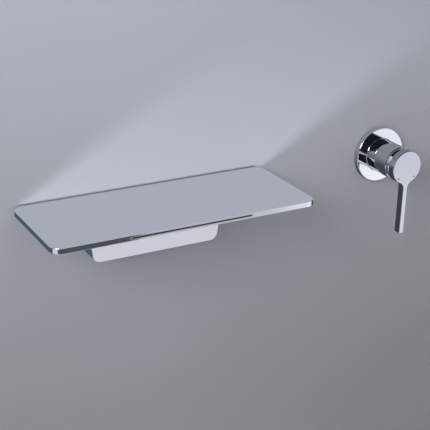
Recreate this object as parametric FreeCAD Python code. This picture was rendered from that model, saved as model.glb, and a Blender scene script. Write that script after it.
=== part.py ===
import FreeCAD, Part
import math
import os

V = FreeCAD.Vector

# Wall-mounted waterfall basin faucet in two halves: a shelf spout with a slot in its
# front edge, and a single-lever mixer to its right. Millimetres. The finished wall is
# the plane y = 0, the room is at negative y, +X is to the right and +Z is up. The
# origin is the middle of the shelf's back edge, where it meets the wall.

# ---- shelf spout ---------------------------------------------------------------
shelf_width = 300.0
shelf_depth = 120.0
shelf_thickness = 6.2
shelf_corner_radius = 12.0
shelf_edge_round = 0.5
shelf_skin = 1.6              # top skin of the hollow shelf
shelf_rim = 3.0               # wall all round the shelf
floor_thickness = 1.6         # plate that closes the shelf from below
floor_play = 0.1              # round the floor plate, inside the rim
slot_width = 136.0
slot_height = 1.2
mouth_end_wall = 1.5          # mouthpiece beside each end of the slot
mouth_depth = 8.0
comb_gap = 6.0                # between the mouthpiece and the comb
comb_thickness = 2.0
comb_tooth_pitch = 4.4
comb_slot = 2.6
channel_back = 6.0            # from the wall to the back of the water channel
channel_back_width = 44.0
seal_width = 4.0

# ---- wall bracket and its cover ----------------------------------------------------
cover_depth = 36.4
cover_drop = 57.6             # from the underside of the shelf to the cover's bottom
cover_bottom_width = 148.0
cover_side_slant = 8.0        # degrees off upright, wider at the top
cover_corner_radius = 9.0
cover_wall = 1.2
cover_edge_round = 0.5
bracket_width = 124.0
bracket_thickness = 3.0
bracket_top_reach = 33.0
bracket_bottom_reach = 20.0
wall_screw_spacing = 104.0
wall_screw_drop = 24.0        # below the origin
wall_screw_radius = 2.5
wall_screw_length = 46.0
wall_screw_head_radius = 4.8
wall_screw_head_height = 3.0
wall_plug_wall = 1.5
shelf_screw_spacing_x = 100.0
shelf_screw_spacing_y = 16.0
shelf_screw_setback = 10.0    # first row of screws, from the wall
shelf_screw_radius = 2.0
floor_screw_radius = 1.5
floor_screw_inset = 9.0       # from the shelf's edge
cover_screw_spacing = 80.0
cover_screw_setback = 12.0
cover_screw_radius = 2.0
screw_boss_wall = 2.2
screw_play = 0.2

# ---- spout inlet ----------------------------------------------------------------
thread_radius = 9.9           # pitch radius of a half-inch pipe thread
thread_length = 15.0
thread_play = 0.05
water_radius = 4.8            # water ways in the cast pieces
side_water_radius = 4.2       # water ways that branch off them
inlet_block_width = 34.0
inlet_block_reach = 32.0      # front of the block, from the wall
inlet_block_back = 8.0
inlet_drop = 44.0             # inlet axis below the origin
inlet_block_drop = 12.0       # below the inlet axis
inlet_setback = 20.0          # upright water way, from the wall
spigot_radius = 8.0
spigot_play = 0.1
ring_section = 0.8            # section radius of the ring in the round cover plate
spigot_ring_section = 0.6     # section radius of the ring on the spigot

# ---- concealed pipe -----------------------------------------------------------------
pipe_depth = 40.0             # axis of the pipe behind the finished wall
pipe_radius = 7.5
pipe_wall = 1.0
pipe_play = 0.05
pipe_socket = 14.0
pipe_bend_radius = 30.0
pipe_bend_start = 110.0
fitting_radius = 11.0         # threaded boss of a compression fitting
fitting_nut_flats = 25.0
fitting_nut_length = 13.0
fitting_nut_web = 3.0
olive_length = 5.0
elbow_radius = 14.0
elbow_reach = 34.0
elbow_gap = 1.0               # mouth of the elbow behind the finished wall
elbow_ear_height = 60.0
elbow_ear_width = 14.0
elbow_ear_thickness = 4.0
elbow_hole_spacing = 46.0
fixing_hole_radius = 2.75

# ---- mixer, all lengths "out" are measured from the finished wall to the room ------
valve_offset = 319.0          # to the right of the spout's inlet
valve_drop = 8.8              # axis below the top of the shelf
plate_radius = 34.0           # round cover plate on the wall
plate_out = 7.0
plate_edge_round = 0.9
plate_bore_round = 0.7        # front edge of the hole for the neck
plate_gasket = 1.0
plate_wall = 2.0
plate_boss_wall = 3.5
neck_radius = 20.5
neck_wall = 1.5
neck_out = 44.0
neck_play = 0.05
collar_radius = 17.5          # front of the concealed body, inside the neck
collar_out = 41.0
barrel_radius = 26.0
barrel_front = -6.0
barrel_back = -54.0
port_boss_radius = 13.5
port_spacing = 42.0           # hot and cold inlets, side by side
port_reach = 46.0             # mouths of the inlets below the valve's axis
port_depth = 20.0             # axis of the inlets behind the finished wall
body_foot_length = 98.0
body_foot_width = 50.0
body_foot_thickness = 4.0
body_hole_spacing_x = 78.0
body_hole_spacing_z = 36.0

# ---- ceramic cartridge ---------------------------------------------------------------
cartridge_radius = 12.5
cartridge_wall = 1.5
cartridge_play = 0.1
cartridge_out = 14.0          # floor of the cartridge's seat
seal_height = 0.8
base_height = 3.2
fixed_disc_height = 3.5
moving_disc_height = 2.9
carrier_height = 5.5
disc_play = 0.05
moving_disc_radius = 8.3
port_circle = 6.2
port_radius = 2.3
rotor_flange_height = 3.4
rotor_neck_radius = 7.5
rotor_top = 43.0
housing_top_wall = 2.0
running_play = 0.08
pivot_out = 38.5              # tilt axis of the lever
pin_radius = 1.5
spindle_width = 6.0
spindle_arm = 4.0
ball_radius = 2.4
ball_arm = 9.0                # from the tilt axis to the ball
lift_angle = 15.0
nut_radius = 15.0
nut_height = 4.3

# ---- lever handle -----------------------------------------------------------------
head_radius = 20.5
head_front = 60.0
head_thickness = 10.0
head_front_wall = 3.0
head_rim = 2.5
head_edge_round = 0.7
head_back_chamfer = 0.8
handle_boss_radius = 6.2
handle_boss_drop = 3.5        # boss behind the head's back rim
blade_width = 6.2
blade_reach = 85.0            # end of the blade below the valve's axis
blade_root_radius = 8.0
blade_end_radius = 2.0
grub_radius = 2.0
grub_length = 5.0
grub_key = 1.0
cap_radius = 2.3
cap_length = 1.8
dot_radius = 1.0
dot_depth = 0.5
dot_spread = 11.2
dot_drop = 12.6
dome_wall = 1.5
dome_play = 0.35              # dome to the inner edge of the tilting head
dome_out = 52.3
dome_skirt = 7.0
dome_step = 0.8               # dome's rim inside the neck's outer face

# ---- derived places -------------------------------------------------------------------
shelf_top = shelf_thickness / 2
shelf_bottom = shelf_top - shelf_thickness
channel_top = shelf_top - shelf_skin
channel_bottom = shelf_bottom + floor_thickness
channel_height = channel_top - channel_bottom
mouth_back = -(shelf_depth - mouth_depth)
mouth_width = slot_width + 2 * mouth_end_wall
cover_bottom = shelf_bottom - cover_drop
bracket_bottom = cover_bottom + cover_wall
bracket_under_shelf = shelf_bottom - bracket_thickness
valve_z = shelf_top - valve_drop
inlet_z = -inlet_drop
cavity_radius = head_radius - head_rim
head_back = head_front - head_thickness
cavity_out = head_front - head_front_wall
base_out = cartridge_out + seal_height
fixed_out = base_out + base_height
moving_out = fixed_out + fixed_disc_height + disc_play
carrier_out = moving_out + moving_disc_height
rotor_out = pivot_out - ball_arm + 1.1
housing_inner = cartridge_radius - cartridge_wall
housing_shoulder = rotor_out + rotor_flange_height + running_play
housing_out = housing_shoulder + housing_top_wall
dome_radius = math.hypot(cavity_radius, head_back - pivot_out) - dome_play
dome_rim = neck_radius - dome_step


# ---- making shapes --------------------------------------------------------------------
def block(x0, x1, y0, y1, z0, z1):
    return Part.makeBox(x1 - x0, y1 - y0, z1 - z0, V(x0, y0, z0))


def rod(radius, start, end):
    start = V(*start)
    end = V(*end)
    return Part.makeCylinder(radius, (end - start).Length, start, end - start)


def cone(radius_a, radius_b, start, end):
    start = V(*start)
    end = V(*end)
    return Part.makeCone(radius_a, radius_b, (end - start).Length, start, end - start)


def fuse(shapes):
    return shapes[0].multiFuse(shapes[1:]).removeSplitter()


def fillet_where(shape, radius, wanted):
    edges = [edge for edge in shape.Edges if wanted(edge)]
    return shape.makeFillet(radius, edges)


def at_height(z):
    def wanted(edge):
        box = edge.BoundBox
        return abs(box.ZMin - z) < 1e-4 and abs(box.ZMax - z) < 1e-4
    return wanted


def at_depth(y):
    def wanted(edge):
        box = edge.BoundBox
        return abs(box.YMin - y) < 1e-4 and abs(box.YMax - y) < 1e-4
    return wanted


def rounded_plate(width, depth, radius, y_back, z0, z1):
    plate = block(-width / 2, width / 2, y_back - depth, y_back, z0, z1)
    uprights = [e for e in plate.Edges if e.BoundBox.ZLength > abs(z1 - z0) / 2]
    return plate.makeFillet(radius, uprights)


def prism(points, start, travel):
    """Flat outline of (x, z) points at depth start, pushed along Y by travel."""
    corners = [V(x, start, z) for x, z in points]
    face = Part.Face(Part.makePolygon(corners + corners[:1]))
    return face.extrude(V(0, travel, 0))


def valve_point(x, out, z):
    return (valve_offset + x, -out, valve_z + z)


def valve_rod(radius, out0, out1, x=0.0, z=0.0):
    return rod(radius, valve_point(x, out0, z), valve_point(x, out1, z))


def valve_ring(outer, inner, out0, out1, x=0.0, z=0.0):
    return valve_rod(outer, out0, out1, x, z).cut(valve_rod(inner, out0, out1, x, z))


def valve_block(half_x, out0, out1, half_z):
    return block(valve_offset - half_x, valve_offset + half_x, -out1, -out0,
                 valve_z - half_z, valve_z + half_z)


def o_ring(centre, axis, circle, section):
    return Part.makeTorus(circle, section, V(*centre), V(*axis))


# ---- shelf spout ---------------------------------------------------------------------
def shelf_screw_places():
    rows = (-shelf_screw_setback, -shelf_screw_setback - shelf_screw_spacing_y)
    return [(side * shelf_screw_spacing_x / 2, y) for side in (-1, 1) for y in rows]


def floor_screw_places():
    across = shelf_width / 2 - floor_screw_inset
    rows = (-floor_screw_inset, -shelf_depth / 2, -(shelf_depth - floor_screw_inset))
    return [(side * across, y) for side in (-1, 1) for y in rows]


def shelf_shell():
    shell = rounded_plate(shelf_width, shelf_depth, shelf_corner_radius, 0,
                          shelf_bottom, shelf_top)
    shell = fillet_where(shell, shelf_edge_round, at_height(shelf_top))
    shell = fillet_where(shell, shelf_edge_round, at_height(shelf_bottom))
    pocket = rounded_plate(shelf_width - 2 * shelf_rim, shelf_depth - 2 * shelf_rim,
                           shelf_corner_radius - shelf_rim, -shelf_rim,
                           shelf_bottom - 1, channel_top)
    window = block(-mouth_width / 2, mouth_width / 2, -shelf_depth - 1,
                   -shelf_depth + shelf_rim + 1, channel_bottom, channel_top)
    shell = shell.cut(pocket)
    bosses = []
    for places, radius in ((shelf_screw_places(), shelf_screw_radius),
                           (floor_screw_places(), floor_screw_radius)):
        for x, y in places:
            boss = rod(radius + screw_boss_wall, (x, y, channel_bottom), (x, y, channel_top))
            bosses.append(boss.cut(rod(radius, (x, y, channel_bottom), (x, y, channel_top))))
    shell = shell.cut(window)
    return fuse([shell] + bosses)


def shelf_floor():
    inset = shelf_rim + floor_play
    plate = rounded_plate(shelf_width - 2 * inset, shelf_depth - 2 * inset,
                          shelf_corner_radius - inset, -inset,
                          shelf_bottom, channel_bottom)
    holes = [rod(spigot_radius + spigot_play, (0, -inlet_setback, shelf_bottom),
                 (0, -inlet_setback, channel_bottom))]
    for x, y in shelf_screw_places():
        holes.append(rod(shelf_screw_radius + screw_play, (x, y, shelf_bottom),
                         (x, y, channel_bottom)))
    for x, y in floor_screw_places():
        holes.append(countersunk(floor_screw_radius, x, y, shelf_bottom, floor_thickness,
                                 floor_thickness, screw_play))
    return plate.cut(Part.makeCompound(holes))


def countersunk(radius, x, y, z, length, sheet, play):
    """A screw countersunk in a sheet, or with play its hole, that starts at z and points up."""
    head = radius + play
    taper = min(head, sheet)
    return fuse([cone(radius + head + play, radius + play, (x, y, z), (x, y, z + taper)),
                 rod(radius + play, (x, y, z), (x, y, z + length))])


def floor_screws():
    length = channel_top - shelf_bottom - screw_play
    return Part.makeCompound([countersunk(floor_screw_radius, x, y, shelf_bottom, length,
                                          floor_thickness, 0)
                              for x, y in floor_screw_places()])


def shelf_fixing_screws():
    screws = []
    for x, y in shelf_screw_places():
        head = rod(1.75 * shelf_screw_radius, (x, y, bracket_under_shelf),
                   (x, y, bracket_under_shelf - 1.3 * shelf_screw_radius))
        key = rod(0.7 * shelf_screw_radius,
                  (x, y, bracket_under_shelf - 1.3 * shelf_screw_radius),
                  (x, y, bracket_under_shelf - 0.6 * shelf_screw_radius))
        shank = rod(shelf_screw_radius, (x, y, bracket_under_shelf),
                    (x, y, channel_top - screw_play))
        screws.append(fuse([head, shank]).cut(key))
    return Part.makeCompound(screws)


def slot_mouthpiece():
    body = block(-mouth_width / 2, mouth_width / 2, -shelf_depth, mouth_back,
                 channel_bottom, channel_top)
    middle = (channel_bottom + channel_top) / 2
    slot = block(-slot_width / 2, slot_width / 2, -shelf_depth - 1, mouth_back + 1,
                 middle - slot_height / 2, middle + slot_height / 2)
    return body.cut(slot)


def channel_half_width(y):
    """Inner half-width of the fan-shaped water channel at depth y."""
    start = -channel_back - seal_width
    share = (y - start) / (mouth_back - start)
    return channel_back_width / 2 + share * (slot_width - channel_back_width) / 2


def flow_comb():
    y_back = mouth_back + comb_gap + comb_thickness
    half = channel_half_width(y_back)
    comb = block(-half, half, y_back - comb_thickness, y_back, channel_bottom, channel_top)
    count = int((2 * half - comb_tooth_pitch) / comb_tooth_pitch)
    margin = (channel_height - 1.6) / 2
    gaps = []
    for i in range(count):
        x = (i - (count - 1) / 2) * comb_tooth_pitch
        gaps.append(block(x - comb_slot / 2, x + comb_slot / 2, y_back - comb_thickness - 1,
                          y_back + 1, channel_bottom + margin, channel_top - margin))
    return comb.cut(Part.makeCompound(gaps))


def channel_seal():
    def fan(extra, y0):
        y1 = mouth_back
        a = channel_half_width(y0) + extra
        b = channel_half_width(y1) + extra
        corners = [V(-a, y0, channel_bottom), V(a, y0, channel_bottom),
                   V(b, y1, channel_bottom), V(-b, y1, channel_bottom)]
        return Part.Face(Part.makePolygon(corners + corners[:1])).extrude(
            V(0, 0, channel_height))
    return fan(seal_width, -channel_back).cut(fan(0, -channel_back - seal_width))


# ---- bracket, cover and inlet --------------------------------------------------------------
def cover_screw_places():
    return [(side * cover_screw_spacing / 2, -cover_screw_setback) for side in (-1, 1)]


def wall_screw_places():
    return [(side * wall_screw_spacing / 2, -wall_screw_drop) for side in (-1, 1)]


def wall_bracket():
    half = bracket_width / 2
    back = block(-half, half, -bracket_thickness, 0, bracket_bottom, shelf_bottom)
    top = block(-half, half, -bracket_top_reach, 0, bracket_under_shelf, shelf_bottom)
    lip = block(-half, half, -bracket_bottom_reach, 0, bracket_bottom,
                bracket_bottom + bracket_thickness)
    holes = [rod(thread_radius + 1, (0, -bracket_thickness, inlet_z), (0, 0, inlet_z)),
             rod(spigot_radius + spigot_play, (0, -inlet_setback, bracket_under_shelf),
                 (0, -inlet_setback, shelf_bottom))]
    for x, z in wall_screw_places():
        holes.append(rod(wall_screw_radius + screw_play, (x, -bracket_thickness, z), (x, 0, z)))
    for x, y in shelf_screw_places():
        holes.append(rod(shelf_screw_radius + screw_play, (x, y, bracket_under_shelf),
                         (x, y, shelf_bottom)))
    for x, y in cover_screw_places():
        holes.append(rod(cover_screw_radius, (x, y, bracket_bottom),
                         (x, y, bracket_bottom + bracket_thickness)))
    return fuse([back, top, lip]).cut(Part.makeCompound(holes))


def wall_screws():
    screws = []
    for x, z in wall_screw_places():
        face = -bracket_thickness
        head = rod(wall_screw_head_radius, (x, face - wall_screw_head_height, z), (x, face, z))
        head = fillet_where(head, wall_screw_head_height / 3,
                            at_depth(face - wall_screw_head_height))
        shank = rod(wall_screw_radius, (x, face, z), (x, face + wall_screw_length, z))
        drive = rod(wall_screw_radius * 0.6, (x, face - wall_screw_head_height, z),
                    (x, face - wall_screw_head_height / 3, z))
        screws.append(fuse([head, shank]).cut(drive))
    return Part.makeCompound(screws)


def wall_plugs():
    end = wall_screw_length
    plugs = []
    for x, z in wall_screw_places():
        sleeve = rod(wall_screw_radius + wall_plug_wall, (x, 0, z), (x, end, z))
        plugs.append(sleeve.cut(rod(wall_screw_radius, (x, 0, z), (x, end, z))))
    return Part.makeCompound(plugs)


def cover_outline(inset):
    """Cover section as (x, z): slanted sides and round bottom corners, inset all round."""
    slant = math.radians(cover_side_slant)
    z0 = cover_bottom + inset
    z1 = shelf_bottom
    half = cover_bottom_width / 2 - inset * (1 / math.cos(slant) - math.tan(slant))
    wide = half + (z1 - z0) * math.tan(slant)
    radius = cover_corner_radius - inset
    back = radius / math.tan((math.pi / 2 + slant) / 2)
    cx = half - back
    cz = z0 + radius
    side = V(cx + radius * math.cos(slant), 0, cz - radius * math.sin(slant))
    mid_turn = math.radians(-90) + (math.pi / 2 - slant) / 2
    mid = V(cx + radius * math.cos(mid_turn), 0, cz + radius * math.sin(mid_turn))
    low = V(cx, 0, z0)

    def flip(p):
        return V(-p.x, p.y, p.z)
    top = V(wide, 0, z1)
    edges = [Part.LineSegment(top, side), Part.Arc(side, mid, low),
             Part.LineSegment(low, flip(low)), Part.Arc(flip(low), flip(mid), flip(side)),
             Part.LineSegment(flip(side), flip(top)), Part.LineSegment(flip(top), top)]
    return Part.Face(Part.Wire([e.toShape() for e in edges]))


def bracket_cover():
    outer = cover_outline(0).extrude(V(0, -cover_depth, 0))
    front = at_depth(-cover_depth)

    def outline(edge):
        return front(edge) and edge.BoundBox.ZMin < shelf_bottom - 1e-3
    outer = fillet_where(outer, cover_edge_round, outline)
    inner = cover_outline(cover_wall).extrude(V(0, -(cover_depth - cover_wall), 0))
    shell = outer.cut(inner)
    for x, y in cover_screw_places():
        shell = shell.cut(countersunk(cover_screw_radius, x, y, cover_bottom, cover_wall,
                                      cover_wall, screw_play))
    return shell


def cover_screws():
    length = cover_wall + bracket_thickness
    return Part.makeCompound([countersunk(cover_screw_radius, x, y, cover_bottom, length,
                                          cover_wall, 0)
                              for x, y in cover_screw_places()])


def spigot_ring_height():
    return shelf_bottom + floor_thickness / 2


def spout_inlet_block():
    half = inlet_block_width / 2
    body = block(-half, half, -inlet_block_reach, -inlet_block_back,
                 inlet_z - inlet_block_drop, bracket_under_shelf)
    body = fillet_where(body, 2.0, lambda e: e.BoundBox.ZLength > 10)
    nipple = rod(thread_radius, (0, -inlet_block_back, inlet_z),
                 (0, elbow_gap + thread_length, inlet_z))
    spigot = rod(spigot_radius, (0, -inlet_setback, bracket_under_shelf),
                 (0, -inlet_setback, channel_bottom))
    groove_circle = spigot_radius + spigot_play - spigot_ring_section
    groove = o_ring((0, -inlet_setback, spigot_ring_height()), (0, 0, 1), groove_circle,
                    spigot_ring_section)
    ways = [rod(water_radius, (0, -inlet_setback, inlet_z),
                (0, elbow_gap + thread_length, inlet_z)),
            rod(side_water_radius, (0, -inlet_setback, inlet_z),
                (0, -inlet_setback, channel_bottom))]
    return fuse([body, nipple, spigot]).cut(fuse(ways)).cut(groove)


def spigot_o_ring():
    circle = spigot_radius + spigot_play - spigot_ring_section
    return o_ring((0, -inlet_setback, spigot_ring_height()), (0, 0, 1), circle,
                  spigot_ring_section - 0.01)


# ---- concealed pipe ---------------------------------------------------------------------
def wall_elbow():
    def along(radius, y0, y1, z=inlet_z):
        return rod(radius, (0, y0, z), (0, y1, z))

    def across(radius, x0, x1):
        return rod(radius, (x0, pipe_depth, inlet_z), (x1, pipe_depth, inlet_z))
    half_w = elbow_ear_width / 2
    half_h = elbow_ear_height / 2
    ear_back = elbow_gap + elbow_ear_thickness
    ears = block(-half_w, half_w, elbow_gap, ear_back, inlet_z - half_h, inlet_z + half_h)
    body = fuse([along(elbow_radius, elbow_gap, pipe_depth + elbow_radius),
                 across(fitting_radius, 0, elbow_reach), ears])
    thread_end = elbow_gap + thread_length + thread_play
    ways = fuse([along(thread_radius + thread_play, elbow_gap, thread_end),
                 along(water_radius, elbow_gap, pipe_depth + water_radius),
                 across(side_water_radius, 0, elbow_reach),
                 across(pipe_radius + pipe_play, elbow_reach - pipe_socket, elbow_reach)])
    body = body.cut(ways)
    for side in (-1, 1):
        z = inlet_z + side * elbow_hole_spacing / 2
        body = body.cut(along(fixing_hole_radius, elbow_gap, ear_back, z))
    return body


def outlet_reach():
    return valve_offset - barrel_radius - pipe_socket


def pipe_path():
    """Level run, a rise at 45 degrees and a second level run, with tangent bends."""
    start = V(elbow_reach - pipe_socket, pipe_depth, inlet_z)
    end = V(outlet_reach() + pipe_socket, pipe_depth, valve_z)
    low = V(pipe_bend_start, pipe_depth, inlet_z)
    high = V(pipe_bend_start + abs(valve_z - inlet_z), pipe_depth, valve_z)
    turn = math.atan2(high.z - low.z, high.x - low.x)
    trim = pipe_bend_radius * math.tan(abs(turn) / 2)
    trim = min(trim, 0.45 * (high - low).Length)
    edges = []
    previous = start
    for corner, before, after in ((low, start, high), (high, low, end)):
        a = corner + (before - corner).normalize() * trim
        b = corner + (after - corner).normalize() * trim
        bend = trim / math.tan(abs(turn) / 2)
        inward = ((a + b) * 0.5 - corner).normalize()
        centre_gap = math.hypot(bend, trim)
        middle = corner + inward * (centre_gap - bend)
        edges.append(Part.LineSegment(previous, a).toShape())
        edges.append(Part.Arc(a, middle, b).toShape())
        previous = b
    edges.append(Part.LineSegment(previous, end).toShape())
    return Part.Wire(edges), start


def mixed_water_pipe():
    path, start = pipe_path()

    def tube(radius):
        circle = Part.makeCircle(radius, start, V(1, 0, 0))
        return path.makePipeShell([Part.Wire(circle)], True, False)
    return tube(pipe_radius).cut(tube(pipe_radius - pipe_wall))


def fitting_places():
    """Each compression fitting: its boss end, which way it faces and its height."""
    return ((elbow_reach, 1, inlet_z), (outlet_reach(), -1, valve_z))


def compression_nuts():
    nuts = []
    thread_in = fitting_nut_length - fitting_nut_web - olive_length
    for x, side, z in fitting_places():
        x0 = x - side * thread_in
        x1 = x0 + side * fitting_nut_length
        corners = []
        for i in range(6):
            turn = math.radians(30 + 60 * i)
            reach = fitting_nut_flats / 2 / math.cos(math.radians(30))
            corners.append(V(x0, pipe_depth + reach * math.cos(turn), z + reach * math.sin(turn)))
        hexagon = Part.Face(Part.makePolygon(corners + corners[:1]))
        nut = hexagon.extrude(V(x1 - x0, 0, 0))
        inside = rod(fitting_radius + thread_play, (x0, pipe_depth, z),
                     (x1 - side * fitting_nut_web, pipe_depth, z))
        way = rod(pipe_radius + pipe_play, (x0, pipe_depth, z), (x1, pipe_depth, z))
        nuts.append(nut.cut(fuse([inside, way])))
    return Part.makeCompound(nuts)


def olives():
    rings = []
    for x, side, z in fitting_places():
        ends = (x, pipe_depth, z), (x + side * olive_length, pipe_depth, z)
        ring = rod(fitting_radius, *ends).cut(rod(pipe_radius + pipe_play, *ends))
        rings.append(ring)
    return Part.makeCompound(rings)


# ---- concealed mixer body -------------------------------------------------------------------
def port_places():
    return [side * port_spacing / 2 for side in (-1, 1)]


def cartridge_ports():
    """Hot, cold and mixed ports of the cartridge, as (x, z) from the valve's axis."""
    up = port_circle * math.cos(math.radians(60))
    across = port_circle * math.sin(math.radians(60))
    return [(-across, up), (across, up), (0.0, -port_circle)]


def mixer_body():
    barrel = valve_rod(barrel_radius, barrel_back, barrel_front)
    collar = valve_rod(collar_radius, barrel_front, collar_out)
    foot = valve_block(body_foot_length / 2, barrel_back - body_foot_thickness, barrel_back,
                       body_foot_width / 2)
    solids = [barrel, collar, foot]
    ways = []
    for x in port_places():
        solids.append(rod(port_boss_radius, valve_point(x, -port_depth, 0),
                          valve_point(x, -port_depth, -port_reach)))
        ways.append(rod(thread_radius, valve_point(x, -port_depth, -port_reach + thread_length),
                        valve_point(x, -port_depth, -port_reach)))
        ways.append(rod(water_radius, valve_point(x, -port_depth, 0),
                        valve_point(x, -port_depth, -port_reach)))
    ports = cartridge_ports()
    for x, (port_x, port_z) in zip(port_places(), ports):
        ways.append(rod(port_radius + 0.6, valve_point(x, -port_depth, port_z),
                        valve_point(port_x, -port_depth, port_z)))
        ways.append(valve_rod(port_radius, -port_depth, cartridge_out, port_x, port_z))
        ways.append(rod(port_radius + 0.6, valve_point(x, -port_depth, 0),
                        valve_point(x, -port_depth, port_z)))
    mixed_x, mixed_z = ports[2]
    ways.append(valve_rod(port_radius, -pipe_depth, cartridge_out, mixed_x, mixed_z))
    ways.append(rod(port_radius, valve_point(0, -pipe_depth, mixed_z),
                    valve_point(0, -pipe_depth, 0)))
    outlet = (outlet_reach(), pipe_depth, valve_z)
    solids.append(rod(fitting_radius, valve_point(0, -pipe_depth, 0), outlet))
    ways.append(rod(water_radius, valve_point(0, -pipe_depth, 0), outlet))
    ways.append(rod(pipe_radius + pipe_play, (outlet[0] + pipe_socket, pipe_depth, valve_z),
                    outlet))
    ways.append(valve_rod(cartridge_radius + cartridge_play, cartridge_out, collar_out))
    ways.append(valve_rod(nut_radius + thread_play, housing_out, collar_out))
    body = fuse(solids)
    for way in ways:
        body = body.cut(way)
    for x in (-body_hole_spacing_x / 2, body_hole_spacing_x / 2):
        for z in (-body_hole_spacing_z / 2, body_hole_spacing_z / 2):
            body = body.cut(valve_rod(fixing_hole_radius, barrel_back - body_foot_thickness,
                                      barrel_back, x, z))
    return body


# ---- cartridge ---------------------------------------------------------------------------
def drilled(disc, out0, out1, radius):
    for x, z in cartridge_ports():
        disc = disc.cut(valve_rod(radius, out0, out1, x, z))
    return disc


def port_seals():
    return Part.makeCompound([valve_ring(port_radius + 1.4, port_radius, cartridge_out,
                                         base_out, x, z) for x, z in cartridge_ports()])


def cartridge_base():
    disc = valve_rod(cartridge_radius, base_out, fixed_out)
    return drilled(disc, base_out, fixed_out, port_radius)


def fixed_disc():
    out1 = fixed_out + fixed_disc_height
    disc = valve_rod(housing_inner - cartridge_play, fixed_out, out1)
    return drilled(disc, fixed_out, out1, port_radius)


def moving_disc():
    disc = valve_rod(moving_disc_radius, moving_out, carrier_out)
    pocket = valve_rod(moving_disc_radius * 0.55, moving_out, moving_out + 1.4)
    return disc.cut(pocket)


def disc_carrier():
    carrier = valve_rod(moving_disc_radius, carrier_out, carrier_out + carrier_height)
    socket = valve_rod(ball_radius + running_play, pivot_out - ball_arm - ball_radius - 0.5,
                       carrier_out + carrier_height)
    return carrier.cut(socket)


def cartridge_housing():
    shell = valve_ring(cartridge_radius, housing_inner, fixed_out, housing_out)
    top = valve_ring(housing_inner, rotor_neck_radius + running_play, housing_shoulder,
                     housing_out)
    return fuse([shell, top])


def rotor():
    flange = valve_rod(housing_inner - running_play, rotor_out,
                       rotor_out + rotor_flange_height)
    neck = valve_rod(rotor_neck_radius, rotor_out, rotor_top)
    swing = math.sin(math.radians(lift_angle))
    below = spindle_arm / 2 + (pivot_out - rotor_out) * swing
    above = spindle_width / 2 + (rotor_top - pivot_out) * swing
    ball = ball_radius + ball_arm * swing
    opening = max(below, above, ball) + 0.4
    slot = valve_block(spindle_width / 2 + running_play, rotor_out, rotor_top, opening)
    pin = rod(pin_radius, valve_point(-rotor_neck_radius, pivot_out, 0),
              valve_point(rotor_neck_radius, pivot_out, 0))
    return fuse([flange, neck]).cut(slot).cut(pin)


def pivot_pin():
    reach = rotor_neck_radius - 0.2
    return rod(pin_radius, valve_point(-reach, pivot_out, 0), valve_point(reach, pivot_out, 0))


def spindle():
    ball_out = pivot_out - ball_arm
    top = cavity_out - 1.0
    bar = valve_block(spindle_width / 2, pivot_out - 2.5, top, spindle_width / 2)
    arm = valve_block(spindle_width / 2, ball_out + ball_radius + 0.4, pivot_out,
                      spindle_arm / 2)
    stem = valve_rod(ball_radius * 0.7, ball_out, pivot_out - 2.5)
    ball = Part.makeSphere(ball_radius, V(*valve_point(0, ball_out, 0)))
    pin = rod(pin_radius + running_play / 2, valve_point(-spindle_width, pivot_out, 0),
              valve_point(spindle_width, pivot_out, 0))
    return fuse([bar, arm, stem, ball]).cut(pin)


def retaining_nut():
    ring = valve_ring(nut_radius, rotor_neck_radius + 0.6, housing_out,
                      housing_out + nut_height)
    notch = block(valve_offset - nut_radius, valve_offset + nut_radius,
                  -(housing_out + nut_height), -(housing_out + nut_height - 1.8),
                  valve_z - 1.5, valve_z + 1.5)
    return ring.cut(notch)


# ---- visible mixer trim ---------------------------------------------------------------------
def dome_ring():
    """Skirt on the collar, a step on the neck's end and a ball-shaped face round the tilt axis."""
    inner = collar_radius + thread_play
    skirt_out = neck_out - dome_skirt
    skirt = neck_radius - neck_wall - neck_play
    rim_out = pivot_out + math.sqrt(dome_radius ** 2 - dome_rim ** 2)
    inside = dome_radius - dome_wall

    def at(out, radius):
        return V(valve_offset + radius, -out, valve_z)

    def on_ball(ball, out):
        return at(out, math.sqrt(ball ** 2 - (out - pivot_out) ** 2))
    inside_out = pivot_out + math.sqrt(inside ** 2 - inner ** 2)
    rim = max(rim_out, neck_out + 0.2)
    points = [at(skirt_out, inner), at(skirt_out, skirt), at(neck_out, skirt),
              at(neck_out, dome_rim), on_ball(dome_radius, rim)]
    edges = [Part.LineSegment(a, b) for a, b in zip(points, points[1:])]
    outer_mid = on_ball(dome_radius, (rim + dome_out) / 2)
    edges.append(Part.Arc(points[-1], outer_mid, on_ball(dome_radius, dome_out)))
    edges.append(Part.LineSegment(on_ball(dome_radius, dome_out), on_ball(inside, dome_out)))
    inner_mid = on_ball(inside, (inside_out + dome_out) / 2)
    edges.append(Part.Arc(on_ball(inside, dome_out), inner_mid, at(inside_out, inner)))
    edges.append(Part.LineSegment(at(inside_out, inner), points[0]))
    face = Part.Face(Part.Wire([e.toShape() for e in edges]))
    return face.revolve(V(valve_offset, 0, valve_z), V(0, 1, 0), 360)


def neck_sleeve():
    sleeve = valve_ring(neck_radius, neck_radius - neck_wall, plate_gasket, neck_out)

    def front_edge(edge):
        return at_depth(-neck_out)(edge) and edge.Curve.Radius > neck_radius - neck_wall / 2
    return sleeve.makeChamfer(0.3, [e for e in sleeve.Edges
                                    if hasattr(e.Curve, "Radius") and front_edge(e)])


def sleeve_o_ring():
    section = (neck_radius - neck_wall - collar_radius) / 2
    return o_ring(valve_point(0, plate_out + 12, 0), (0, 1, 0), collar_radius + section,
                  section - 0.01)


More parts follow.
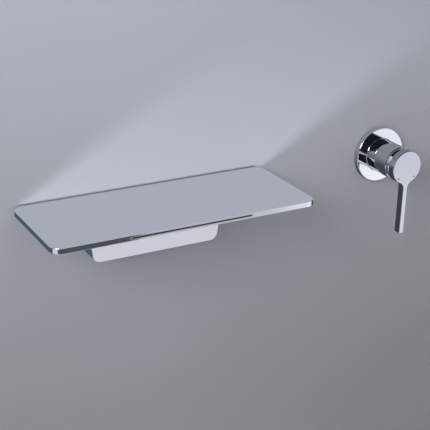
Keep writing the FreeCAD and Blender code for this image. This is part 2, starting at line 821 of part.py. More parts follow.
def escutcheon():
    disc = valve_rod(plate_radius, plate_gasket, plate_out)
    disc = fillet_where(disc, plate_edge_round, at_depth(-plate_out))
    recess = valve_ring(plate_radius - plate_wall, neck_radius + plate_boss_wall,
                        plate_gasket, plate_out - plate_wall)
    bore = valve_rod(neck_radius + neck_play, plate_gasket, plate_out)
    middle = (plate_gasket + plate_out) / 2
    groove = valve_ring(neck_radius + 2 * ring_section, neck_radius,
                        middle - ring_section, middle + ring_section)
    disc = disc.cut(recess).cut(bore)

    def bore_edge(edge):
        return at_depth(-plate_out)(edge) and edge.BoundBox.ZLength < 2.2 * neck_radius
    return fillet_where(disc, plate_bore_round, bore_edge).cut(groove)


def escutcheon_o_ring():
    middle = (plate_gasket + plate_out) / 2
    return o_ring(valve_point(0, middle, 0), (0, 1, 0), neck_radius + ring_section,
                  ring_section - 0.01)


def escutcheon_gasket():
    return valve_ring(plate_radius - plate_edge_round, neck_radius + neck_play, 0, plate_gasket)


# ---- lever handle ---------------------------------------------------------------------------
def handle_outline():
    """Round head and straight blade in one outline, with hollow roots and round end corners."""
    half = blade_width / 2
    reach = head_radius + blade_root_radius
    across = half + blade_root_radius
    root_z = -math.sqrt(reach ** 2 - across ** 2)
    touch = head_radius / reach

    def at(x, z):
        return V(valve_offset + x, -head_back, valve_z + z)
    out = []
    for side in (1, -1):
        meet = at(side * across * touch, root_z * touch)
        end = at(side * half, root_z)
        turn = (math.atan2(-root_z * (1 - touch), -across * (1 - touch)) + math.pi) / 2
        middle = at(side * (across + blade_root_radius * math.cos(turn)),
                    root_z + blade_root_radius * math.sin(turn))
        out.append((meet, middle, end))
    (meet_r, mid_r, end_r), (meet_l, mid_l, end_l) = out
    low = -blade_reach
    corner = blade_end_radius
    diagonal = corner * (1 - math.sqrt(0.5))
    pieces = [Part.Arc(meet_r, at(0, head_radius), meet_l),
              Part.Arc(meet_l, mid_l, end_l),
              Part.LineSegment(end_l, at(-half, low + corner)),
              Part.Arc(at(-half, low + corner), at(-half + diagonal, low + diagonal),
                       at(-half + corner, low)),
              Part.LineSegment(at(-half + corner, low), at(half - corner, low)),
              Part.Arc(at(half - corner, low), at(half - diagonal, low + diagonal),
                       at(half, low + corner)),
              Part.LineSegment(at(half, low + corner), end_r),
              Part.Arc(end_r, mid_r, meet_r)]
    return Part.Face(Part.Wire([p.toShape() for p in pieces]))


def grub_out():
    return (head_back + cavity_out) / 2


def cap_hole(length, radius):
    return rod(radius, valve_point(head_radius - length, grub_out(), 0),
               valve_point(head_radius + 1, grub_out(), 0))


def dot_places():
    return ((-dot_spread, -dot_drop), (dot_spread, -dot_drop))


def lever_handle():
    handle = handle_outline().extrude(V(0, -head_thickness, 0))
    handle = fillet_where(handle, head_edge_round, at_depth(-head_front))
    back = [e for e in handle.Edges if at_depth(-head_back)(e)]
    handle = handle.makeChamfer(head_back_chamfer, back)
    cavity = valve_rod(cavity_radius, head_back, cavity_out)
    boss_out = head_back - handle_boss_drop
    boss = valve_rod(handle_boss_radius, boss_out, cavity_out)
    handle = fuse([handle.cut(cavity), boss])
    socket = valve_block(spindle_width / 2, boss_out, cavity_out - 1.0, spindle_width / 2)
    handle = handle.cut(socket)
    grub_way = rod(grub_radius, valve_point(0, grub_out(), 0),
                   valve_point(handle_boss_radius + 1, grub_out(), 0))
    handle = handle.cut(grub_way)
    handle = handle.cut(cap_hole(head_rim + 1, cap_radius))
    for x, z in dot_places():
        handle = handle.cut(valve_rod(dot_radius, head_front - dot_depth, head_front, x, z))
    return handle


def handle_screw():
    start = spindle_width / 2
    screw = rod(grub_radius, valve_point(start, grub_out(), 0),
                valve_point(start + grub_length, grub_out(), 0))
    key = rod(grub_key, valve_point(start + grub_length / 2, grub_out(), 0),
              valve_point(start + grub_length, grub_out(), 0))
    return screw.cut(key)


def screw_cap():
    plug = cap_hole(cap_length, cap_radius)
    return plug.common(valve_rod(head_radius, head_back, head_front))


def dot(place):
    x, z = place
    return valve_rod(dot_radius, head_front - dot_depth, head_front, x, z)


def hot_dot():
    return dot(dot_places()[0])


def cold_dot():
    return dot(dot_places()[1])


# ---- writing the pieces -------------------------------------------------------------------
pieces = [shelf_shell, shelf_floor, floor_screws, slot_mouthpiece, flow_comb, channel_seal,
          wall_bracket, wall_screws, wall_plugs, shelf_fixing_screws, bracket_cover,
          cover_screws, spout_inlet_block, spigot_o_ring, wall_elbow, mixed_water_pipe,
          compression_nuts, olives, mixer_body, port_seals, cartridge_base, fixed_disc,
          moving_disc, disc_carrier, cartridge_housing, rotor, pivot_pin, spindle,
          retaining_nut, dome_ring, neck_sleeve, sleeve_o_ring, escutcheon,
          escutcheon_o_ring, escutcheon_gasket, lever_handle, handle_screw, screw_cap,
          hot_dot, cold_dot]

os.makedirs("parts", exist_ok=True)
for make in pieces:
    shape = make()
    shape.exportStep("parts/" + make.__name__ + ".step")
    print(make.__name__, len(shape.Solids), shape.isValid(), round(shape.Volume, 1))
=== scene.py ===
import math

import bmesh
import bpy
from bpy.props import FloatProperty, FloatVectorProperty, PointerProperty
from bpy.types import Operator, Panel, PropertyGroup
from mathutils import Matrix, Vector


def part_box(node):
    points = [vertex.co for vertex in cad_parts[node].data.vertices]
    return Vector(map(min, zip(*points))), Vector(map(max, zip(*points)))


bl_info = {
    "name": "Waterfall basin faucet",
    "version": (1, 0, 0),
    "blender": (4, 5, 0),
    "location": "View3D > Sidebar > Faucet",
    "description": "Finishes and studio for a wall-mounted waterfall faucet and its mixer",
    "category": "Object",
}

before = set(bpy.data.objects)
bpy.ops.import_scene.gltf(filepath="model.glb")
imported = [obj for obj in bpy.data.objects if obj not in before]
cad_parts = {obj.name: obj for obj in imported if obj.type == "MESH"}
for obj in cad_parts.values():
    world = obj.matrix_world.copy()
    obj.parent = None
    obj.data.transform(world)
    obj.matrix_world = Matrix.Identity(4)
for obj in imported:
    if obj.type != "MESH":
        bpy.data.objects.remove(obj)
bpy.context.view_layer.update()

MM = 0.001

# Concealed and inner pieces, grouped by what they are made of.
BRASS_PIECES = ("spout_inlet_block", "wall_elbow", "compression_nuts", "olives", "mixer_body",
                "spindle", "retaining_nut")
COPPER_PIECES = ("mixed_water_pipe",)
RUBBER_PIECES = ("channel_seal", "spigot_o_ring", "port_seals", "sleeve_o_ring",
                 "escutcheon_o_ring", "escutcheon_gasket")
ACETAL_PIECES = ("flow_comb", "cartridge_base", "disc_carrier", "cartridge_housing", "rotor")
CERAMIC_PIECES = ("fixed_disc", "moving_disc")
STEEL_SHEET_PIECES = ("shelf_floor", "slot_mouthpiece", "wall_bracket")
STEEL_SCREWS = ("floor_screws", "shelf_fixing_screws", "cover_screws", "pivot_pin",
                "handle_screw")

# Places on the stage, in metres. The shelf's corner is its right end, back edge and top.
SHELF_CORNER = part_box("shelf_shell")[1]
WALL_PLANE = 0.0002             # a hair behind the pieces' backs, so that no two faces share it
STAGE_LEFT, STAGE_RIGHT = -3.0, 3.2
STAGE_FRONT, STAGE_BACK = -4.0, 0.6
STAGE_TOP = 2.5

# Settings that several nodes take.
SMOOTH = {"interpolation_type": "SMOOTHSTEP"}
COLOURS = {"data_type": "RGBA"}
TIMES_PLUS = {"operation": "MULTIPLY_ADD"}


# ---- colours and nodes --------------------------------------------------------------------
def linear(hex_colour):
    """sRGB hex such as C8CACD as a linear RGBA colour."""
    out = []
    for i in (0, 2, 4):
        c = int(hex_colour[i:i + 2], 16) / 255
        out.append(c / 12.92 if c <= 0.04045 else ((c + 0.055) / 1.055) ** 2.4)
    return (*out, 1.0)


def opaque(setting):
    """A colour setting as RGBA."""
    return (*setting, 1.0)


def feed(tree, node, **inputs):
    """Sets a node's inputs, or links them where a socket or another node is given.

    An input goes by its name, with _ for a space, or as i0, i1 and so on where names repeat.
    Another node stands for the first of its outputs that is in use.
    """
    for key, value in inputs.items():
        if key[1:].isdigit():
            socket = node.inputs[int(key[1:])]
        else:
            name = key.replace("_", " ")
            socket = next(s for s in node.inputs if s.enabled and s.name == name)
        if isinstance(value, bpy.types.Node):
            value = next(s for s in value.outputs if s.enabled)
        if isinstance(value, bpy.types.NodeSocket):
            tree.links.new(value, socket)
        else:
            socket.default_value = value


def add(tree, kind, settings=None, **inputs):
    """Adds a node with its settings, and feeds its inputs."""
    node = tree.nodes.new(kind)
    for key, value in (settings or {}).items():
        setattr(node, key, value)
    feed(tree, node, **inputs)
    return node


class Surface:
    """A new material with its shader, and patterns that are measured on the real surface."""

    def __init__(self, name, **plain):
        """plain holds what is the same all over, by the names of the shader's sockets."""
        self.material = bpy.data.materials.new(name)
        self.material.use_nodes = True
        self.tree = self.material.node_tree
        self.shader = self.tree.nodes["Principled BSDF"]
        self.where = add(self.tree, "ShaderNodeTexCoord").outputs["Object"]
        feed(self.tree, self.shader, **plain)

    def pattern(self, period_mm, detail=3.0, along_x=1.0):
        """Soft random pattern, about period_mm across. An along_x under 1 draws it out."""
        place = self.where
        if along_x != 1.0:
            place = add(self.tree, "ShaderNodeMapping", Vector=place, Scale=(along_x, 1.0, 1.0))
        return add(self.tree, "ShaderNodeTexNoise", Vector=place, Scale=1 / (period_mm * MM),
                   Detail=detail)

    def colour(self, pattern, first, second):
        """Base colour from first to second, as the pattern goes."""
        mixed = add(self.tree, "ShaderNodeMix", COLOURS, Factor=pattern, A=linear(first),
                    B=linear(second))
        feed(self.tree, self.shader, Base_Color=mixed)

    def roughness(self, pattern, low, high):
        """Roughness from low to high, as the pattern goes."""
        spread = add(self.tree, "ShaderNodeMapRange", Value=pattern, To_Min=low, To_Max=high)
        feed(self.tree, self.shader, Roughness=spread)

    def relief(self, pattern, depth_mm, edge_mm=0.0):
        """Relief after the pattern. With edge_mm, edges also look rounded by that much."""
        bump = add(self.tree, "ShaderNodeBump", Height=pattern, Distance=depth_mm * MM,
                   Strength=1.0)
        if edge_mm:
            rounded = add(self.tree, "ShaderNodeBevel", {"samples": 4}, Radius=edge_mm * MM)
            feed(self.tree, bump, Normal=rounded)
        feed(self.tree, self.shader, Normal=bump)


# ---- finishes -----------------------------------------------------------------------------
def chrome_plated_brass(colour):
    """Bright chromium on buffed brass: a cold mirror with a long, barely seen waviness."""
    chrome = Surface("chrome_plated_brass_buffed", Base_Color=opaque(colour), Metallic=1.0)
    chrome.roughness(chrome.pattern(22.0), 0.03, 0.07)
    chrome.relief(chrome.pattern(14.0, detail=1.0), 0.012, edge_mm=0.4)
    return chrome.material


def chrome_plated_cover(colour):
    """Chromium on spun brass: the same mirror, flat, and painted at its brightest as painted
    light.
    """
    chrome = Surface("chrome_plated_brass_spun", Base_Color=opaque(colour), Metallic=1.0)
    chrome.roughness(chrome.pattern(30.0), 0.025, 0.06)
    chrome.relief(chrome.pattern(20.0, detail=1.0), 0.01, edge_mm=0.5)
    return chrome.material


def chrome_plated_zinc(colour):
    """Chromium on die-cast zinc: the same mirror, a little more wavy, and set a shade deeper as
    painted shade.
    """
    chrome = Surface("chrome_plated_zinc_cast", Base_Color=opaque(colour), Metallic=1.0)
    chrome.roughness(chrome.pattern(16.0), 0.035, 0.08)
    chrome.relief(chrome.pattern(11.0, detail=1.0), 0.015, edge_mm=0.6)
    return chrome.material


def chrome_plated_sheet(colour):
    """Chromium on folded and ground sheet: a slightly softer mirror, drawn out along X."""
    chrome = Surface("chrome_plated_sheet_ground", Base_Color=opaque(colour), Metallic=1.0)
    # The grinding lines are a tenth of a millimetre in life; 0.6 mm is the finest that shows.
    chrome.roughness(chrome.pattern(0.6, along_x=0.03), 0.06, 0.13)
    chrome.relief(chrome.pattern(40.0, detail=1.0), 0.02, edge_mm=0.25)
    return chrome.material


def lined_stainless(name):
    """Stainless steel, brushed or turned: grey, with fine lines that stretch its highlights."""
    steel = Surface(name, Base_Color=linear("B4B5B7"), Metallic=1.0)
    # Lines of 0.1 mm are drawn 0.4 mm apart, so that they show.
    lines = steel.pattern(0.4, along_x=0.04)
    steel.roughness(lines, 0.2, 0.42)
    steel.relief(lines, 0.01, edge_mm=0.15)
    return steel.material


def zinc_plated_steel():
    """Bright zinc on screw steel: bluish, with pale and yellowish clouds."""
    zinc = Surface("zinc_plated_steel", Metallic=1.0, Roughness=0.35)
    zinc.colour(zinc.pattern(3.0), "9EA5AE", "B9B6A6")
    zinc.relief(zinc.pattern(0.5), 0.02)
    return zinc.material


def cast_brass():
    """Sand-cast and part-machined brass: warm, dull, with a grain of half a millimetre."""
    brass = Surface("cast_brass", Metallic=1.0)
    clouds = brass.pattern(9.0)
    brass.colour(clouds, "A98646", "CDAE6C")
    brass.roughness(clouds, 0.34, 0.55)
    brass.relief(brass.pattern(0.6), 0.05)
    return brass.material


def drawn_copper():
    """Drawn copper tube: reddish, with darker tarnish in patches and lines along it."""
    copper = Surface("copper_tube_drawn", Metallic=1.0)
    copper.colour(copper.pattern(18.0), "9C5A3A", "CE8A60")
    copper.roughness(copper.pattern(0.8, along_x=0.05), 0.22, 0.4)
    return copper.material


def moulded_rubber():
    """EPDM rubber from a mould: near black, matt, with dust in specks of two millimetres."""
    rubber = Surface("epdm_rubber_moulded", Roughness=0.7)
    rubber.colour(rubber.pattern(2.0), "151516", "2B2B2C")
    rubber.relief(rubber.pattern(0.3), 0.02)
    return rubber.material


def moulded_plastic(name, shade, base):
    """Injection-moulded acetal or nylon: even, waxy, with slight flow clouds."""
    plastic = Surface(name, Roughness=0.38)
    plastic.colour(plastic.pattern(7.0), shade, base)
    plastic.relief(plastic.pattern(0.5), 0.01)
    return plastic.material


def lapped_ceramic():
    """Alumina lapped flat: ivory, hard and glossy, with tiny pores."""
    alumina = Surface("alumina_ceramic_lapped", Roughness=0.12)
    alumina.colour(alumina.pattern(0.3), "E2DED2", "F4F1E8")
    return alumina.material


def filled_enamel(name, colour):
    """Enamel run into a small round recess: deep colour, satin, with a slight ripple."""
    enamel = Surface(name, Base_Color=opaque(colour), Roughness=0.45)
    enamel.relief(enamel.pattern(0.8), 0.01)
    return enamel.material


def dress(nodes, material):
    """Gives CAD nodes their finish, smooth except where their own normals keep an edge."""
    for name in nodes:
        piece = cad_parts[name]
        piece.data.materials.clear()
        piece.data.materials.append(material)
        piece.data.polygons.foreach_set("use_smooth", [True] * len(piece.data.polygons))


# ---- settings -------------------------------------------------------------------------------
def colour_setting(name, description, hex_colour):
    """A colour that the user may change, with its default as sRGB hex."""
    return FloatVectorProperty(name=name, description=description, subtype="COLOR", size=3,
                               min=0, max=1, default=linear(hex_colour)[:3])


class FaucetFinish(PropertyGroup):
    """Colours of the pieces in view."""
    chrome_colour: colour_setting(
        "Chrome", "Reflected colour of the plated shelf, bracket cover and neck", "EDEEF2")
    # The cover's brighter and the lever's deeper chrome are painted light and shade on one
    # chromium.
    cover_colour: colour_setting(
        "Cover plate chrome", "Reflected colour of the round cover plate", "F6F7FA")
    lever_colour: colour_setting(
        "Lever chrome", "Reflected colour of the plated lever", "D5D6DC")
    hot_colour: colour_setting("Hot mark", "Colour of the hot mark", "A80A0A")
    cold_colour: colour_setting("Cold mark", "Colour of the cold mark", "0070DC")


class FaucetStudio(PropertyGroup):
    """Wall, floor, light and camera."""
    # Upper left and lower right differ as painted light and shade.
    wall_top: colour_setting(
        "Wall, upper left", "Wall paint where the light is strongest", "B8BBC3")
    wall_low: colour_setting(
        "Wall, lower right", "Wall paint away from the light", "909092")
    # Painted light: the glow that the shelf's mirror throws up on the wall.
    wall_painted_light: colour_setting(
        "Wall, glow", "Wall where the shelf throws light up on it", "C3C6CE")
    # Painted shadow: the thin dark line where the shelf meets the wall.
    wall_joint_shadow: colour_setting(
        "Wall, joint", "Thin shadow where the shelf meets the wall", "74777D")
    floor_height: FloatProperty(
        name="Floor", description="Height of the studio floor", unit="LENGTH", default=-0.49)
    key_place: FloatVectorProperty(
        name="Softbox place", description="Middle of the large softbox", size=3,
        subtype="TRANSLATION", unit="LENGTH", default=(-1.5, -1.2, 1.0))
    key_aim: FloatVectorProperty(
        name="Softbox aim", description="Point that the large softbox faces", size=3,
        subtype="TRANSLATION", unit="LENGTH", default=(0.05, 0.0, 0.0))
    key_size: FloatProperty(
        name="Softbox size", description="Side of the large softbox", unit="LENGTH",
        default=0.8)
    key_power: FloatProperty(
        name="Softbox power", description="Power of the large softbox", unit="POWER",
        default=24.0)
    key_colour: colour_setting("Softbox colour", "Colour of the large softbox", "FBFCFF")
    camera_place: FloatVectorProperty(
        name="Camera place", description="Where the camera stands", size=3,
        subtype="TRANSLATION", unit="LENGTH", default=(-0.47155, -1.00068, 0.4208))
    camera_focus: FloatProperty(
        name="Focal length", description="On a 36 mm wide frame", unit="CAMERA",
        default=90.09)
    camera_turn: FloatProperty(
        name="Turn", description="Camera's heading, to the right of straight at the wall",
        subtype="ANGLE", default=math.radians(29.389))
    camera_dip: FloatProperty(
        name="Dip", description="How far the camera looks down", subtype="ANGLE",
        default=math.radians(22.205))
    camera_roll: FloatProperty(
        name="Roll", description="Camera's roll about its own axis", subtype="ANGLE",
        default=math.radians(1.344))


# ---- stage ------------------------------------------------------------------------------------
def rectangle(left, right, low, high):
    """Four corners in order, as pairs in the plane that the rectangle lies in."""
    return (left, low), (right, low), (right, high), (left, high)


def sheet_of(name, corners, material):
    """Flat stage piece through corners, given in metres and in order."""
    mesh = bpy.data.meshes.new(name)
    form = bmesh.new()
    form.faces.new([form.verts.new(c) for c in corners])
    form.to_mesh(mesh)
    form.free()
    mesh.materials.append(material)
    piece = bpy.data.objects.new(name, mesh)
    bpy.context.scene.collection.objects.link(piece)
    return piece


def mirror_card(name, corners, material):
    """Stage piece that only the chrome sees: a painted reflection."""
    card = sheet_of(name, corners, material)
    card.visible_camera = False
    card.visible_diffuse = False
    card.visible_shadow = False
    card.visible_transmission = False


def glowing(name):
    """A new material that only glows, with its tree and the light that takes its colour."""
    material = bpy.data.materials.new(name)
    material.use_nodes = True
    tree = material.node_tree
    tree.nodes.clear()
    light = add(tree, "ShaderNodeEmission")
    add(tree, "ShaderNodeOutputMaterial", Surface=light)
    return material, tree, light


def painted_reflection_tone(name, colour):
    """One even glowing tone, which no light changes."""
    material, tree, light = glowing(name)
    feed(tree, light, Color=linear(colour))
    return material


def tone(tree, value, start, end, first, second):
    """Colour that goes softly from first to second as value goes from start to end."""
    share = add(tree, "ShaderNodeMapRange", SMOOTH, Value=value, From_Min=start, From_Max=end)
    return add(tree, "ShaderNodeMix", COLOURS, Factor=share, A=first, B=second)


def inside(tree, *edges):
    """1 inside all the soft edges and 0 outside.

    Each edge is a value, where it starts to let it in, and where it lets it in fully.
    """
    share = 1.0
    for value, start, end in edges:
        edge = add(tree, "ShaderNodeMapRange", SMOOTH, Value=value, From_Min=start,
                   From_Max=end)
        share = add(tree, "ShaderNodeMath", {"operation": "MULTIPLY"}, i0=share, i1=edge)
    return share


def in_mirrors(tree, plain, mirrored):
    """Shows mirrored to reflected rays and plain to all others."""
    reflected = add(tree, "ShaderNodeLightPath").outputs["Is Glossy Ray"]
    return add(tree, "ShaderNodeMixShader", i0=reflected, i1=plain, i2=mirrored)


def one_sided(surface, front):
    """Shows the front shader from the front and nothing from behind."""
    behind = add(surface.tree, "ShaderNodeNewGeometry").outputs["Backfacing"]
    clear = add(surface.tree, "ShaderNodeBsdfTransparent")
    choice = add(surface.tree, "ShaderNodeMixShader", i0=behind, i1=front, i2=clear)
    feed(surface.tree, surface.tree.nodes["Material Output"], Surface=choice)


def painted_shelf_light(tree, x, z):
    """Painted light where the shelf's mirror throws the key light up on the wall: 0 outside, 1
    inside.
    """
    lean = 1.67                             # metres to the right for each metre up
    soft_at_shelf, soft_growth = 0.006, 0.45    # half-width of its sides, and more per metre up
    come_in, faded_out = 0.006, 0.22        # heights by which it has come in, and has gone
    upright = add(tree, "ShaderNodeMath", TIMES_PLUS, i0=z, i1=-lean, i2=x)
    soft = add(tree, "ShaderNodeMath", TIMES_PLUS, i0=z, i1=soft_growth, i2=soft_at_shelf)
    edges = []
    for side in (-1.0, 1.0):
        outer, inner = (
            add(tree, "ShaderNodeMath", TIMES_PLUS, i0=soft, i1=way, i2=side * SHELF_CORNER.x)
            for way in (side, -side))
        edges.append((upright, outer, inner))
    return inside(tree, *edges, (z, faded_out, 0.0), (z, 0.0, come_in))


def painted_joint_shadow(tree, x, z):
    """The thin painted shadow where the shelf's top meets the wall: 1 in it, 0 elsewhere."""
    aside = add(tree, "ShaderNodeMath", {"operation": "ABSOLUTE"}, i0=x)
    top, end = SHELF_CORNER.z, SHELF_CORNER.x
    return inside(tree, (z, top + 3.2 * MM, top + 0.8 * MM), (z, 0.0, 1 * MM),
                  (aside, end - 1 * MM, end - 12 * MM))


def painted_wall_reflection(tree, x, z):
    """The wall that chrome sees, a glowing painted reflection: lit above the shelf, and a
    painted dark room below it.

    Between the shelf's end and the mixer the change moves up and grows longer, and the lit
    part turns darker.
    """
    shelf_end, mixer_side = SHELF_CORNER.x, SHELF_CORNER.x + 0.10
    start, end = (
        add(tree, "ShaderNodeMapRange", SMOOTH, Value=x, From_Min=shelf_end,
            From_Max=mixer_side, To_Min=at_shelf, To_Max=at_mixer)
        for at_shelf, at_mixer in ((0.003, 0.014), (-0.004, -0.03)))
    # Painted reflection: these tones glow, whatever light falls on the wall.
    lit = tone(tree, x, 0.22, 0.27, linear("B2B6C0"), linear("868A91"))
    shade = tone(tree, x, -0.1, 0.35, linear("4A5C70"), linear("43474E"))
    return add(tree, "ShaderNodeEmission", Color=tone(tree, z, start, end, lit, shade))


def painted_wall(studio):
    """Matt wall paint with painted light, paler at the upper left; chrome sees a painted
    reflection, dark below the shelf.
    """
    wall = Surface("matt_wall_paint_rolled", Roughness=0.85)
    tree = wall.tree
    x, _, z = add(tree, "ShaderNodeSeparateXYZ", Vector=wall.where).outputs
    # The paint turns to its lower tone across these stretches, by these parts of the way; this
    # darkening is painted shade.
    lower = 0.0
    for value, start, end, part in ((x, -0.3, 0.5, 0.2), (x, 0.05, -0.25, 0.2),
                                    (z, 0.30, -0.35, 0.8)):
        step = add(tree, "ShaderNodeMapRange", SMOOTH, Value=value, From_Min=start,
                   From_Max=end, To_Max=part)
        lower = add(tree, "ShaderNodeMath", {"operation": "ADD"}, i0=lower, i1=step)
    colour = opaque(studio.wall_top)
    # Over the paint go the painted light that the shelf's mirror throws up and the painted
    # shadow along the shelf's top.
    for share, next_colour in ((lower, studio.wall_low),
                               (painted_shelf_light(tree, x, z), studio.wall_painted_light),
                               (painted_joint_shadow(tree, x, z), studio.wall_joint_shadow)):
        colour = add(tree, "ShaderNodeMix", COLOURS, Factor=share, A=colour,
                     B=opaque(next_colour))
    feed(tree, wall.shader, Base_Color=colour)
    wall.relief(wall.pattern(3.0), 0.05)
    one_sided(wall, in_mirrors(tree, wall.shader, painted_wall_reflection(tree, x, z)))
    return wall.material


def floor_paper():
    """Seamless paper: pale and quite matt, with a faint mottle."""
    paper = Surface("seamless_paper_matt", Roughness=0.9)
    paper.colour(paper.pattern(1.5), "CCCDD1", "D6D7DB")
    one_sided(paper, paper.shader)
    return paper.material


def painted_floor_reflection():
    """The floor that chrome sees, a glowing painted reflection of lit paper: paler near the wall
    and below the mixer.
    """
    material, tree, light = glowing("painted_floor_reflection")
    where = add(tree, "ShaderNodeTexCoord").outputs["Object"]
    x, y, _ = add(tree, "ShaderNodeSeparateXYZ", Vector=where).outputs
    far = -1.1
    left = tone(tree, y, far, far + 0.05, linear("BFC0CC"), linear("D9DBE3"))
    right = tone(tree, y, far, far + 0.20, linear("E9EDF6"), linear("F8FAFF"))
    feed(tree, light, Color=tone(tree, x, 0.72, 0.80, left, right))
    return material


# ---- operators --------------------------------------------------------------------------------
class FAUCET_OT_shelf(Operator):
    """Finish the shelf spout: plated shell, steel floor, mouthpiece and bracket"""
    bl_idname = "faucet.shelf"
    bl_label = "Shelf spout"

    def execute(self, context):
        finish = context.scene.faucet_finish
        dress(("shelf_shell",), chrome_plated_sheet(finish.chrome_colour))
        dress(STEEL_SHEET_PIECES, lined_stainless("stainless_steel_brushed"))
        return {"FINISHED"}


class FAUCET_OT_trim(Operator):
    """Finish the plated trim: bracket cover, round plate, neck and dome ring"""
    bl_idname = "faucet.trim"
    bl_label = "Plated trim"

    def execute(self, context):
        finish = context.scene.faucet_finish
        dress(("bracket_cover", "neck_sleeve", "dome_ring"),
              chrome_plated_brass(finish.chrome_colour))
        dress(("escutcheon",), chrome_plated_cover(finish.cover_colour))
        return {"FINISHED"}


class FAUCET_OT_lever(Operator):
    """Finish the lever and the cap over its screw"""
    bl_idname = "faucet.lever"
    bl_label = "Lever"

    def execute(self, context):
        finish = context.scene.faucet_finish
        dress(("lever_handle", "screw_cap"), chrome_plated_zinc(finish.lever_colour))
        return {"FINISHED"}


class FAUCET_OT_marks(Operator):
    """Finish the hot and cold marks on the lever's face"""
    bl_idname = "faucet.marks"
    bl_label = "Temperature marks"

    def execute(self, context):
        finish = context.scene.faucet_finish
        dress(("hot_dot",), filled_enamel("red_enamel_filled", finish.hot_colour))
        dress(("cold_dot",), filled_enamel("blue_enamel_filled", finish.cold_colour))
        return {"FINISHED"}


class FAUCET_OT_metalwork(Operator):
    """Finish the concealed brass, the copper pipe and the screws"""
    bl_idname = "faucet.metalwork"
    bl_label = "Concealed metalwork"

    def execute(self, context):
        dress(BRASS_PIECES, cast_brass())
        dress(COPPER_PIECES, drawn_copper())
        dress(STEEL_SCREWS, lined_stainless("stainless_steel_turned"))
        dress(("wall_screws",), zinc_plated_steel())
        return {"FINISHED"}


class FAUCET_OT_cartridge(Operator):
    """Finish seals, plastics and ceramic discs"""
    bl_idname = "faucet.cartridge"
    bl_label = "Cartridge and seals"

    def execute(self, context):
        dress(RUBBER_PIECES, moulded_rubber())
        dress(ACETAL_PIECES, moulded_plastic("acetal_moulded", "DDDBD2", "E9E8E2"))
        dress(("wall_plugs",), moulded_plastic("nylon_moulded", "A6A7A3", "B5B6B2"))
        dress(CERAMIC_PIECES, lapped_ceramic())
        return {"FINISHED"}


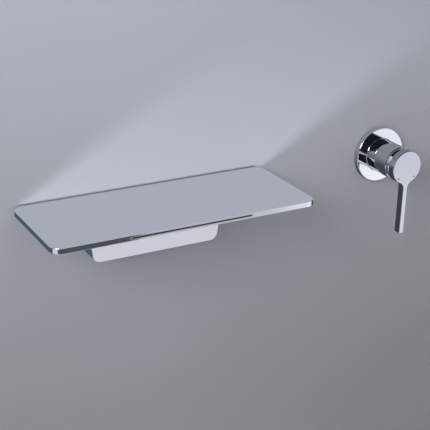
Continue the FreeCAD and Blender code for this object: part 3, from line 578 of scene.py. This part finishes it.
class FAUCET_OT_studio(Operator):
    """Build the wall, the floor, the light and the camera"""
    bl_idname = "faucet.studio"
    bl_label = "Studio"

    def execute(self, context):
        studio = context.scene.faucet_studio
        self.wall_and_floor(studio)
        self.mirror_cards(studio)
        self.softbox(context.scene, studio)
        self.room(context.scene)
        self.camera(context.scene, studio)
        return {"FINISHED"}

    def wall_and_floor(self, studio):
        low = studio.floor_height
        wall = rectangle(STAGE_LEFT, STAGE_RIGHT, low, STAGE_TOP)
        floor = rectangle(STAGE_LEFT, STAGE_RIGHT, STAGE_FRONT, STAGE_BACK)
        sheet_of("studio_wall", [(x, WALL_PLANE, z) for x, z in wall], painted_wall(studio))
        sheet_of("studio_floor", [(x, y, low) for x, y in floor], floor_paper())

    def mirror_cards(self, studio):
        """Painted reflections: a dark card before the shelf, black flags close to the neck, and
        a pale floor.
        """
        # The dark card paints a dark reflection along the shelf's front edge.
        before_shelf = -0.32
        dark = (-0.40, -0.132), (0.02, -0.132), (0.05, -0.052), (-0.40, -0.052)
        mirror_card("dark_card", [(x, before_shelf, z) for x, z in dark],
                    painted_reflection_tone("dark_reflection_card", "4C4E52"))

        # The flags hang in front of the neck and over it, with a gap where the light comes in;
        # they paint a black reflection on the neck.
        black = painted_reflection_tone("black_reflection_flag", "17181B")
        left, right, front, back, top = 0.235, 0.385, -0.08, -0.03, 0.085
        high = ((left, -0.012), (0.295, -0.012), (0.300, 0.018), (right, 0.030), (right, top),
                (left, top))
        low = (left, -0.100), (0.305, -0.100), (0.300, -0.040), (left, -0.026)
        over = rectangle(left, right, front, back)
        mirror_card("neck_flag_high", [(x, front, z) for x, z in high], black)
        mirror_card("neck_flag_low", [(x, front, z) for x, z in low], black)
        mirror_card("neck_flag_top", [(x, y, top) for x, y in over], black)

        # The pale card paints the lit floor's reflection in the chrome's front faces.
        over_floor = studio.floor_height + 0.02
        pale = rectangle(-2.0, 2.6, -2.2, -0.5)
        mirror_card("pale_card", [(x, y, over_floor) for x, y in pale], painted_floor_reflection())

    def softbox(self, scene, studio):
        lamp = bpy.data.lights.new("key_softbox", "AREA")
        lamp.shape = "SQUARE"
        lamp.size = studio.key_size
        lamp.energy = studio.key_power
        lamp.color = studio.key_colour
        holder = bpy.data.objects.new("key_softbox", lamp)
        scene.collection.objects.link(holder)
        holder.location = studio.key_place
        ahead = Vector(studio.key_aim) - Vector(studio.key_place)
        holder.rotation_euler = ahead.to_track_quat("-Z", "Y").to_euler()

    def room(self, scene):
        """Even, slightly cool room light, plain pale where the camera sees it."""
        world = bpy.data.worlds.new("studio_room")
        scene.world = world
        world.use_nodes = True
        tree = world.node_tree
        back = tree.nodes["Background"]
        feed(tree, back, Color=linear("E4E6EA"), Strength=0.85)
        heading = add(tree, "ShaderNodeTexCoord").outputs["Generated"]
        height = add(tree, "ShaderNodeSeparateXYZ", Vector=heading).outputs["Z"]
        # Chrome sees a pale ceiling and a darker band of room at eye level.
        seen = tone(tree, height, -0.05, 0.7, linear("6E727A"), linear("D4D6DC"))
        mirrored = add(tree, "ShaderNodeBackground", Color=seen, Strength=1.0)
        feed(tree, tree.nodes["World Output"], Surface=in_mirrors(tree, back, mirrored))

    def camera(self, scene, studio):
        turn, dip, roll = studio.camera_turn, studio.camera_dip, studio.camera_roll
        ahead = Vector((math.sin(turn) * math.cos(dip), math.cos(turn) * math.cos(dip),
                        -math.sin(dip)))
        level = Vector((math.cos(turn), -math.sin(turn), 0))
        upright = level.cross(ahead)
        right = level * math.cos(roll) + upright * math.sin(roll)
        up = right.cross(ahead)
        lens = bpy.data.cameras.new("photo_camera")
        lens.sensor_width = 36.0
        lens.lens = studio.camera_focus
        lens.clip_start = 0.05
        lens.clip_end = 20
        eye = bpy.data.objects.new("photo_camera", lens)
        scene.collection.objects.link(eye)
        turned = Matrix((right, up, -ahead)).transposed().to_4x4()
        eye.matrix_world = Matrix.Translation(studio.camera_place) @ turned
        scene.camera = eye


class FAUCET_PT_panel(Panel):
    """Sidebar panel with the faucet's steps in order"""
    bl_idname = "FAUCET_PT_panel"
    bl_label = "Waterfall faucet"
    bl_space_type = "VIEW_3D"
    bl_region_type = "UI"
    bl_category = "Faucet"

    def draw(self, context):
        for step in STEPS:
            self.layout.operator(step.bl_idname)
        for group in (context.scene.faucet_finish, context.scene.faucet_studio):
            box = self.layout.box()
            for key in group.__annotations__:
                box.prop(group, key)


STEPS = (FAUCET_OT_shelf, FAUCET_OT_trim, FAUCET_OT_lever, FAUCET_OT_marks, FAUCET_OT_metalwork,
         FAUCET_OT_cartridge, FAUCET_OT_studio)
CLASSES = (FaucetFinish, FaucetStudio, *STEPS, FAUCET_PT_panel)


def register():
    for item in CLASSES:
        bpy.utils.register_class(item)
    bpy.types.Scene.faucet_finish = PointerProperty(type=FaucetFinish)
    bpy.types.Scene.faucet_studio = PointerProperty(type=FaucetStudio)


def unregister():
    del bpy.types.Scene.faucet_finish
    del bpy.types.Scene.faucet_studio
    for item in reversed(CLASSES):
        bpy.utils.unregister_class(item)


def main():
    register()
    bpy.context.scene.view_settings.view_transform = "Standard"
    bpy.ops.faucet.shelf()
    bpy.ops.faucet.trim()
    bpy.ops.faucet.lever()
    bpy.ops.faucet.marks()
    bpy.ops.faucet.metalwork()
    bpy.ops.faucet.cartridge()
    bpy.ops.faucet.studio()


if __name__ == "__main__":
    main()
